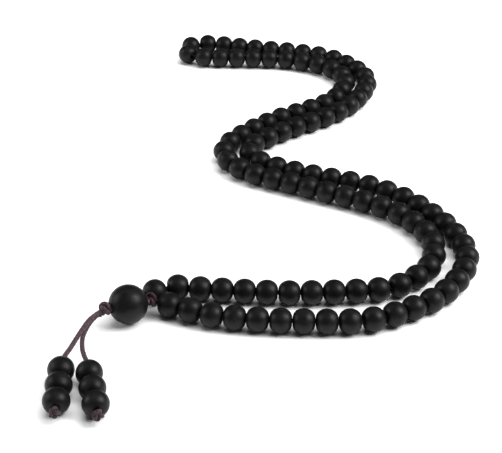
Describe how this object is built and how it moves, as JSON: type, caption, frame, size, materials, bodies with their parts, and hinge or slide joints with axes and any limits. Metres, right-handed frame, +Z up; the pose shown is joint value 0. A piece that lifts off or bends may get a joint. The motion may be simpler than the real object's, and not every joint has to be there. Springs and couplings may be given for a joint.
{
  "type": "mala prayer beads",
  "caption": "Closed loop of matte black prayer beads on a knotted cord, with one large head bead and two short tails that each carry counter beads.",
  "frame": {"origin": "on the table, straight under the centre of the head bead", "axes": "+Z up from the table; +X to the right along the first stretch of the loop; +Y from the tails towards the loop's far tip"},
  "size_m": [0.1336, 0.2557, 0.0123],
  "materials": {
    "loop_bead": "matte",
    "head_bead": "matte",
    "counter_bead": "matte",
    "loop_cord": "matte",
    "tail_cord": "matte"
  },
  "bodies": {
    "base": {"guru_cords": "tail_cord", "head_knot": "loop_cord", "tail_knot": "tail_cord", "loop_cord_00": "loop_cord", "front_beads_00": "loop_bead", "back_beads_00": "loop_bead"},
    "guru": {"guru_bead": "head_bead"},
    "stretch_01": {"loop_cord_01": "loop_cord", "front_beads_01": "loop_bead", "back_beads_01": "loop_bead"},
    "stretch_02": {"loop_cord_02": "loop_cord", "front_beads_02": "loop_bead", "back_beads_02": "loop_bead"},
    "stretch_03": {"loop_cord_03": "loop_cord", "front_beads_03": "loop_bead", "back_beads_03": "loop_bead"},
    "stretch_04": {"loop_cord_04": "loop_cord", "front_beads_04": "loop_bead", "back_beads_04": "loop_bead"},
    "stretch_05": {"loop_cord_05": "loop_cord", "front_beads_05": "loop_bead", "back_beads_05": "loop_bead"},
    "stretch_06": {"loop_cord_06": "loop_cord", "front_beads_06": "loop_bead", "back_beads_06": "loop_bead"},
    "stretch_07": {"loop_cord_07": "loop_cord", "front_beads_07": "loop_bead", "back_beads_07": "loop_bead"},
    "stretch_08": {"loop_cord_08": "loop_cord", "front_beads_08": "loop_bead", "back_beads_08": "loop_bead"},
    "stretch_09": {"loop_cord_09": "loop_cord", "front_beads_09": "loop_bead", "back_beads_09": "loop_bead"},
    "stretch_10": {"loop_cord_10": "loop_cord", "front_beads_10": "loop_bead", "back_beads_10": "loop_bead"},
    "stretch_11": {"loop_cord_11": "loop_cord", "front_beads_11": "loop_bead", "back_beads_11": "loop_bead"},
    "stretch_12": {"loop_cord_12": "loop_cord", "front_beads_12": "loop_bead", "back_beads_12": "loop_bead"},
    "stretch_13": {"loop_cord_13": "loop_cord", "front_beads_13": "loop_bead", "back_beads_13": "loop_bead"},
    "tail_left": {"tail_cord_left": "tail_cord", "end_knot_left": "tail_cord"},
    "counter_left_1": {"counter_left_1": "counter_bead"},
    "counter_left_2": {"counter_left_2": "counter_bead"},
    "counter_left_3": {"counter_left_3": "counter_bead"},
    "tail_right": {"tail_cord_right": "tail_cord", "end_knot_right": "tail_cord"},
    "counter_right_1": {"counter_right_1": "counter_bead"},
    "counter_right_2": {"counter_right_2": "counter_bead"},
    "counter_right_3": {"counter_right_3": "counter_bead"}
  },
  "joints": [
    {"name": "guru_spin", "type": "hinge", "parent": "base", "child": "guru", "pos_m": [0, 0, 0.00615], "axis": [0.8966, 0.4373, -0.0698], "continuous": true},
    {"name": "fold_01", "type": "hinge", "parent": "base", "child": "stretch_01", "pos_m": [0.09898, 0.01993, 0.00508], "axis": [0.9904, -0.138, 0], "range_deg": [0, 12]},
    {"name": "fold_02", "type": "hinge", "parent": "stretch_01", "child": "stretch_02", "pos_m": [0.10248, 0.04072, 0.00508], "axis": [0.9926, -0.1214, 0], "range_deg": [0, 12]},
    {"name": "fold_03", "type": "hinge", "parent": "stretch_02", "child": "stretch_03", "pos_m": [0.09218, 0.05931, 0.00508], "axis": [1, 0.0073, 0], "range_deg": [0, 12]},
    {"name": "fold_04", "type": "hinge", "parent": "stretch_03", "child": "stretch_04", "pos_m": [0.07541, 0.07217, 0.00508], "axis": [0.9669, 0.2551, 0], "range_deg": [0, 12]},
    {"name": "fold_05", "type": "hinge", "parent": "stretch_04", "child": "stretch_05", "pos_m": [0.04974, 0.08398, 0.00508], "axis": [0.9861, 0.166, 0], "range_deg": [0, 12]},
    {"name": "fold_06", "type": "hinge", "parent": "stretch_05", "child": "stretch_06", "pos_m": [0.03347, 0.10476, 0.00508], "axis": [0.9846, -0.1746, 0], "range_deg": [0, 12]},
    {"name": "fold_07", "type": "hinge", "parent": "stretch_06", "child": "stretch_07", "pos_m": [0.04447, 0.11861, 0.00508], "axis": [0.9923, 0.1238, 0], "range_deg": [0, 12]},
    {"name": "fold_08", "type": "hinge", "parent": "stretch_07", "child": "stretch_08", "pos_m": [0.0611, 0.13185, 0.00508], "axis": [0.9993, 0.0362, 0], "range_deg": [0, 12]},
    {"name": "fold_09", "type": "hinge", "parent": "stretch_08", "child": "stretch_09", "pos_m": [0.07783, 0.14992, 0.00508], "axis": [0.9913, -0.1314, 0], "range_deg": [0, 12]},
    {"name": "fold_10", "type": "hinge", "parent": "stretch_09", "child": "stretch_10", "pos_m": [0.07891, 0.17081, 0.00508], "axis": [0.9955, -0.0947, 0], "range_deg": [0, 12]},
    {"name": "fold_11", "type": "hinge", "parent": "stretch_10", "child": "stretch_11", "pos_m": [0.06321, 0.18501, 0.00508], "axis": [0.0739, 0.9973, 0], "range_deg": [0, 12]},
    {"name": "fold_12", "type": "hinge", "parent": "stretch_11", "child": "stretch_12", "pos_m": [0.04258, 0.18998, 0.00508], "axis": [0.09, 0.9959, 0], "range_deg": [0, 12]},
    {"name": "fold_13", "type": "hinge", "parent": "stretch_12", "child": "stretch_13", "pos_m": [0.02166, 0.19286, 0.00508], "axis": [0.1023, 0.9947, 0], "range_deg": [0, 12]},
    {"name": "tail_left_swing", "type": "hinge", "parent": "base", "child": "tail_left", "pos_m": [-0.00708, -0.00346, 0.0067], "axis": [0, 0, 1], "range_deg": [-30, 0]},
    {"name": "counter_left_1_slide", "type": "slide", "parent": "tail_left", "child": "counter_left_1", "axis": [-0.0316, 0.9995, 0], "range_m": [0, 0.0009]},
    {"name": "counter_left_2_slide", "type": "slide", "parent": "tail_left", "child": "counter_left_2", "axis": [-0.0316, 0.9995, 0], "range_m": [0, 0.0006]},
    {"name": "counter_left_3_slide", "type": "slide", "parent": "tail_left", "child": "counter_left_3", "axis": [-0.0316, 0.9995, 0], "range_m": [0, 0.0003]},
    {"name": "tail_right_swing", "type": "hinge", "parent": "base", "child": "tail_right", "pos_m": [-0.00708, -0.00346, 0.0067], "axis": [0, 0, 1], "range_deg": [0, 30]},
    {"name": "counter_right_1_slide", "type": "slide", "parent": "tail_right", "child": "counter_right_1", "axis": [-0.2294, 0.9733, 0], "range_m": [0, 0.0009]},
    {"name": "counter_right_2_slide", "type": "slide", "parent": "tail_right", "child": "counter_right_2", "axis": [-0.2294, 0.9733, 0], "range_m": [0, 0.0006]},
    {"name": "counter_right_3_slide", "type": "slide", "parent": "tail_right", "child": "counter_right_3", "axis": [-0.2294, 0.9733, 0], "range_m": [0, 0.0003]}
  ],
  "couplings": [
    {"joint": "fold_02", "follows": "fold_01", "ratio": 1},
    {"joint": "fold_03", "follows": "fold_01", "ratio": 1},
    {"joint": "fold_05", "follows": "fold_04", "ratio": 1},
    {"joint": "fold_06", "follows": "fold_04", "ratio": 1},
    {"joint": "fold_07", "follows": "fold_04", "ratio": 1},
    {"joint": "fold_09", "follows": "fold_08", "ratio": 1},
    {"joint": "fold_10", "follows": "fold_08", "ratio": 1},
    {"joint": "fold_12", "follows": "fold_11", "ratio": 1},
    {"joint": "fold_13", "follows": "fold_11", "ratio": 1},
    {"joint": "counter_left_2_slide", "follows": "counter_left_1_slide", "ratio": 0.66667},
    {"joint": "counter_left_3_slide", "follows": "counter_left_1_slide", "ratio": 0.33333},
    {"joint": "counter_right_2_slide", "follows": "counter_right_1_slide", "ratio": 0.66667},
    {"joint": "counter_right_3_slide", "follows": "counter_right_1_slide", "ratio": 0.33333}
  ]
}
